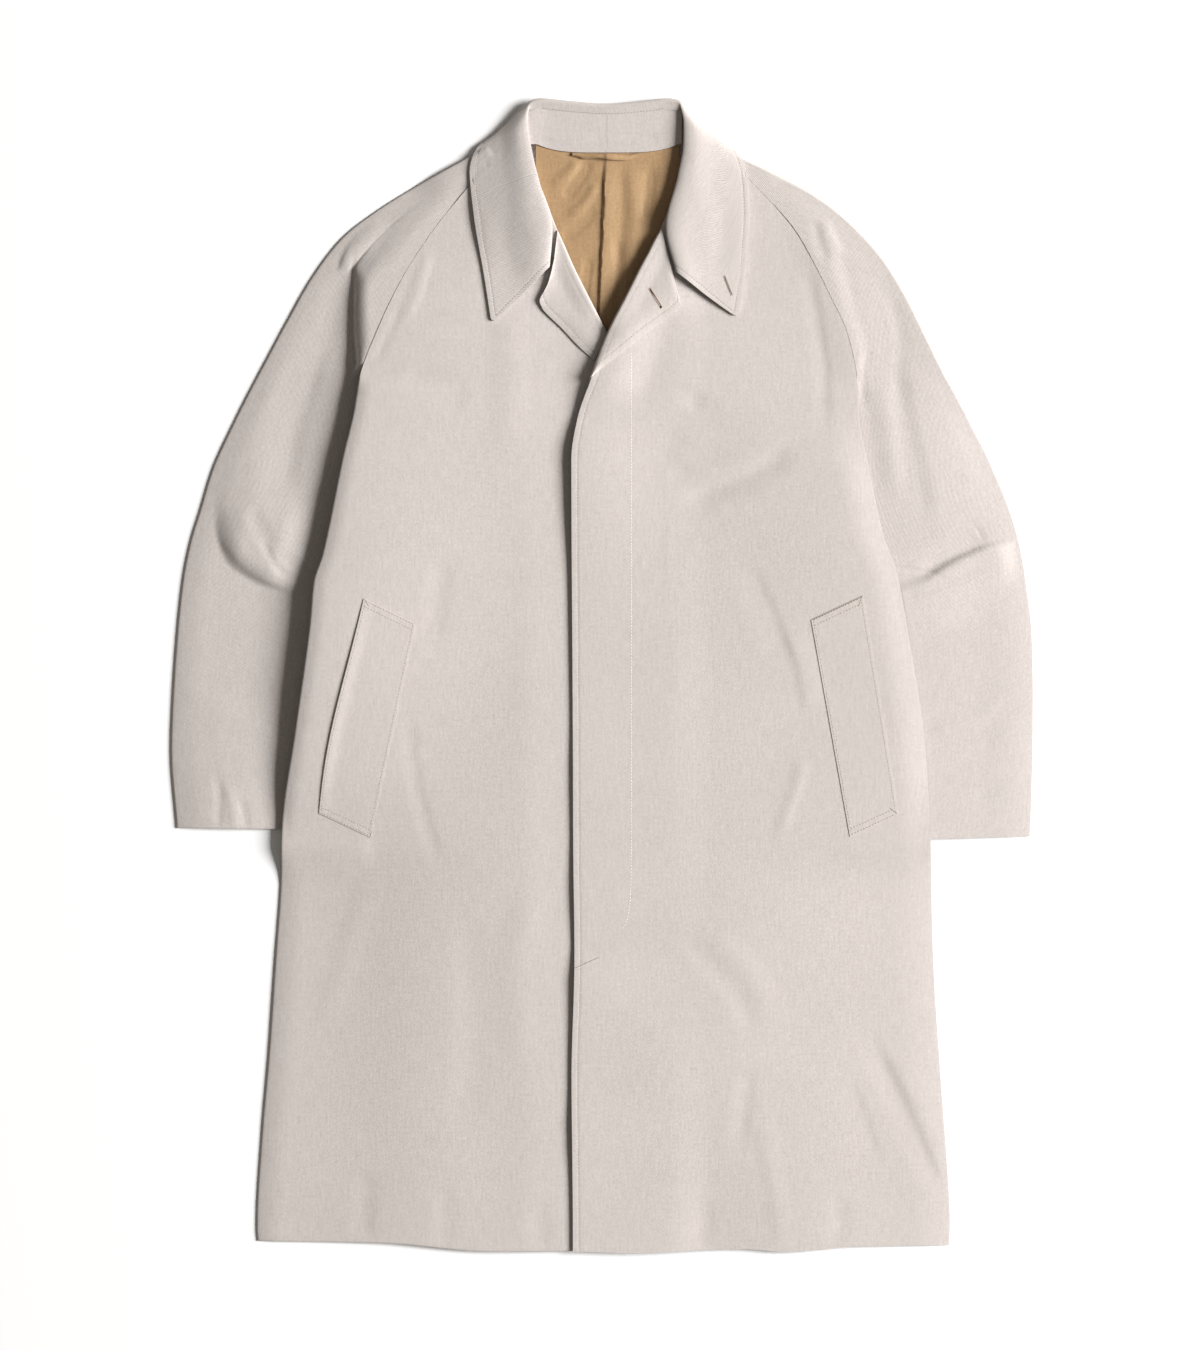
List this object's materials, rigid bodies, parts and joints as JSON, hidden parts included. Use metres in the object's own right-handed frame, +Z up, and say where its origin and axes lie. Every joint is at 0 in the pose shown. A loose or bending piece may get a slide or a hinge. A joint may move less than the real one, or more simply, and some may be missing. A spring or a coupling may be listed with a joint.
{
  "type": "gabardine coat",
  "caption": "Single-breasted raglan coat in pale gabardine with a turned-down collar, fly front and slanted welt pockets, laid flat on its back.",
  "frame": {"origin": "on the surface the coat lies on, under the middle of its outline", "axes": "+X to the wearer's left, +Y from the hem to the collar, +Z up from the surface"},
  "size_m": [0.8205, 1.098, 0.0209],
  "materials": {
    "shell": "matt pale stone cotton gabardine with a fine steep twill",
    "lining": "smooth tan lining with a slight sheen"
  },
  "bodies": {
    "root": {"back_panel": "shell", "front_left": "shell", "front_right": "shell", "sleeve_front_left": "shell", "sleeve_front_right": "shell", "sleeve_back_left": "shell", "sleeve_back_right": "shell", "collar_fall": "shell", "collar_stand_left": "shell", "collar_stand_right": "shell", "facing_left": "shell", "facing_right": "shell", "welt_left": "shell", "welt_right": "shell", "lining_back": "lining", "hanger_loop": "lining"}
  },
  "joints": []
}
